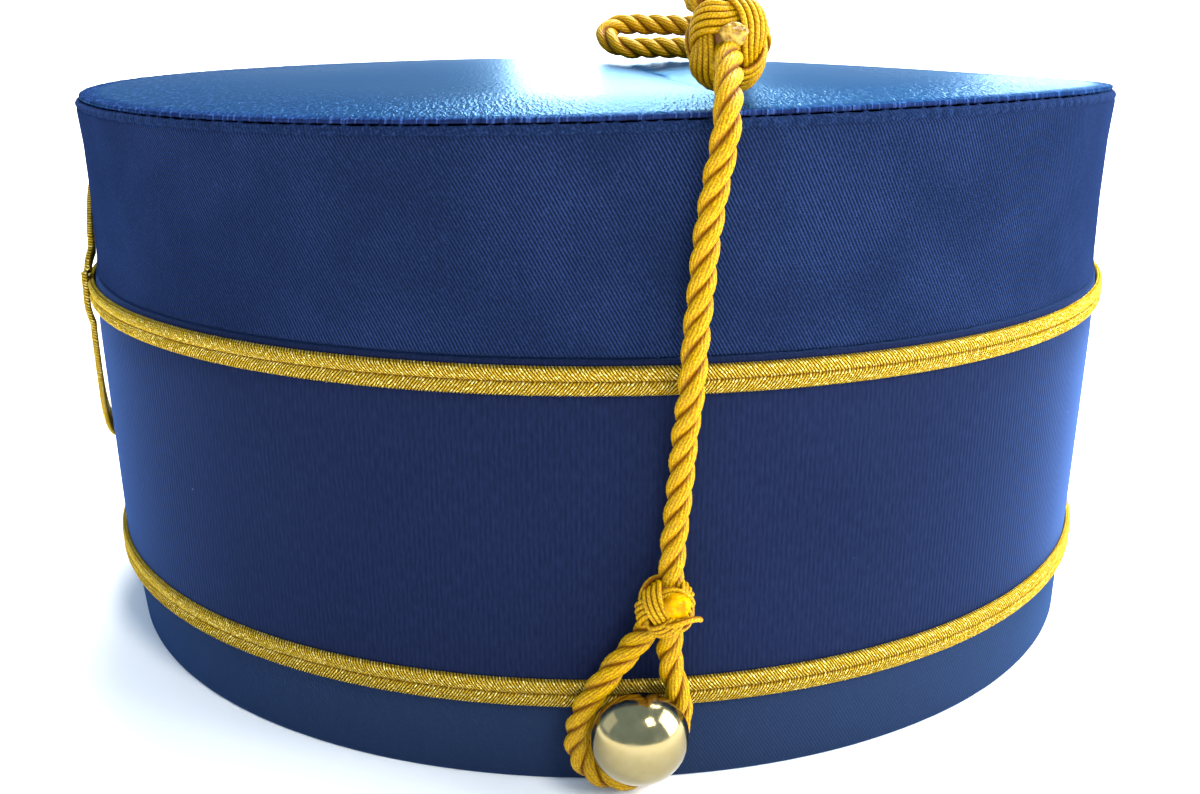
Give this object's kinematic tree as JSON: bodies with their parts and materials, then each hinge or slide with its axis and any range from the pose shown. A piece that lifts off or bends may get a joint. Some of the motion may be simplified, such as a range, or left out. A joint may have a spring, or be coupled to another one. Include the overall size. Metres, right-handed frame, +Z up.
{
  "type": "oval crown cap",
  "caption": "Oval flat-topped cap of blue satin with a velvet band, gold braid, a braid ring on the front and a cord buttoned on one side.",
  "frame": {"origin": "on the surface that the rim stands on, under the middle of the bounding box of the cap with its button", "axes": "+Z up through the crown, -X the front with the braid ring, -Y the side with the button"},
  "size_m": [0.2066, 0.1942, 0.123],
  "materials": {
    "satin": "royal blue satin, a fine diagonal weave with a soft sheen",
    "velvet": "navy velvet with a fine upright rib",
    "lower_satin": "smooth blue satin, almost matt",
    "gold_braid": "flat braid of metallic gold thread, two ribs and a groove",
    "cord": "three-strand twisted cord of golden yellow rayon",
    "gilt": "polished pale gilt"
  },
  "bodies": {
    "root": {"crown_top": "satin", "crown_side": "satin", "velvet_band": "velvet", "lower_band": "lower_satin", "upper_braid": "gold_braid", "lower_braid": "gold_braid", "front_ring": "gold_braid", "button": "gilt", "crown_knot": "cord", "side_knot": "cord", "hanging_cord": "cord", "button_loop": "cord", "top_loop": "cord"}
  },
  "joints": []
}
